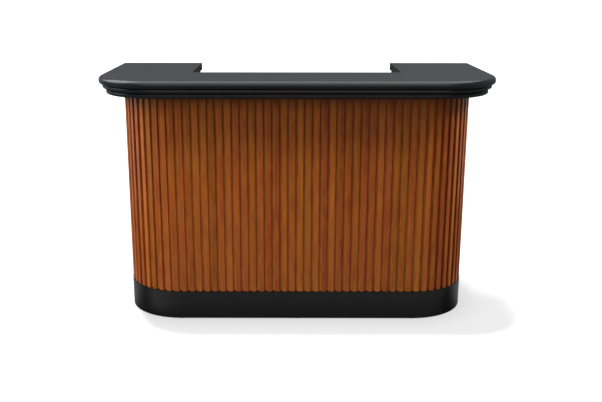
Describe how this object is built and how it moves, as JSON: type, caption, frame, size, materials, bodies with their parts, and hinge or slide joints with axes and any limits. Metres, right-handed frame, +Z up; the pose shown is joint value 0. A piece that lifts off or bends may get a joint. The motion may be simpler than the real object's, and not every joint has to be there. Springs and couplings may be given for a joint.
{
  "type": "home bar",
  "caption": "Free-standing U-shaped home bar with a moulded black top, rounded slatted front, black plinth, and shelves, drawers and doors on the serving side.",
  "frame": {"origin": "on the floor, under the middle of the worktop's outline", "axes": "+Z up, -Y towards the guests at the slatted front, +Y towards the serving side, +X to a guest's right"},
  "size_m": [1.724, 0.792, 1.067],
  "materials": {
    "black_lacquer": "satin charcoal-black lacquer",
    "plinth_black": "satin black paint",
    "slat_wood": "oiled, reddish brown, straight grain",
    "backing_wood": "stained ply, reddish brown",
    "cabinet_wood": "veneered board, satin",
    "birch": "clear-coated birch",
    "black_metal": "satin black",
    "bright_steel": "zinc-plated",
    "brown_plastic": "moulded",
    "white_nylon": "moulded"
  },
  "bodies": {
    "bar": {"top_slab": "black_lacquer", "bead_board": "black_lacquer", "frieze_board": "black_lacquer", "front_slats": "slat_wood", "front_panel": "backing_wood", "centre_divider": "cabinet_wood", "centre_deck": "cabinet_wood", "plinth_band": "plinth_black", "plinth_rear_rails": "plinth_black", "plinth_niche_rails": "plinth_black", "floor_glides": "white_nylon", "shelf_cleats": "cabinet_wood", "stemware_spacers": "cabinet_wood", "stemware_flanges": "cabinet_wood", "drawer_runners": "birch", "cabinet_hinge_leaves": "black_metal", "door_catches": "brown_plastic", "right_corner_slats": "slat_wood", "left_corner_slats": "slat_wood", "right_side_slats": "slat_wood", "left_side_slats": "slat_wood", "right_end_stile": "slat_wood", "left_end_stile": "slat_wood", "right_corner_panel": "backing_wood", "left_corner_panel": "backing_wood", "right_side_panel": "backing_wood", "left_side_panel": "backing_wood", "right_inner_panel": "cabinet_wood", "left_inner_panel": "cabinet_wood", "right_deck": "cabinet_wood", "left_deck": "cabinet_wood", "right_wing_shelf": "cabinet_wood", "left_wing_shelf": "cabinet_wood", "right_dust_board": "cabinet_wood", "left_dust_board": "cabinet_wood", "right_centre_shelf_1": "cabinet_wood", "left_centre_shelf_1": "cabinet_wood", "right_centre_shelf_2": "cabinet_wood", "left_centre_shelf_2": "cabinet_wood"},
    "left_drawer": {"left_drawer_front": "cabinet_wood", "left_drawer_sides": "birch", "left_drawer_back": "birch", "left_drawer_bottom": "birch", "left_drawer_knob": "black_metal"},
    "right_drawer": {"right_drawer_front": "cabinet_wood", "right_drawer_sides": "birch", "right_drawer_back": "birch", "right_drawer_bottom": "birch", "right_drawer_knob": "black_metal"},
    "left_door": {"left_door_frame": "cabinet_wood", "left_door_panel": "cabinet_wood", "left_door_knob": "black_metal", "left_door_hinge_leaves": "black_metal", "left_door_strike": "bright_steel"},
    "right_door": {"right_door_frame": "cabinet_wood", "right_door_panel": "cabinet_wood", "right_door_knob": "black_metal", "right_door_hinge_leaves": "black_metal", "right_door_strike": "bright_steel"}
  },
  "joints": [
    {"name": "left_drawer_slide", "type": "slide", "parent": "bar", "child": "left_drawer", "axis": [0, 1, 0], "range_m": [0, 0.28]},
    {"name": "left_door_hinge", "type": "hinge", "parent": "bar", "child": "left_door", "pos_m": [-0.738, 0.3738, 0], "axis": [0, 0, 1], "range_deg": [0, 170]},
    {"name": "right_drawer_slide", "type": "slide", "parent": "bar", "child": "right_drawer", "axis": [0, 1, 0], "range_m": [0, 0.28]},
    {"name": "right_door_hinge", "type": "hinge", "parent": "bar", "child": "right_door", "pos_m": [0.738, 0.3738, 0], "axis": [0, 0, -1], "range_deg": [0, 170]}
  ]
}
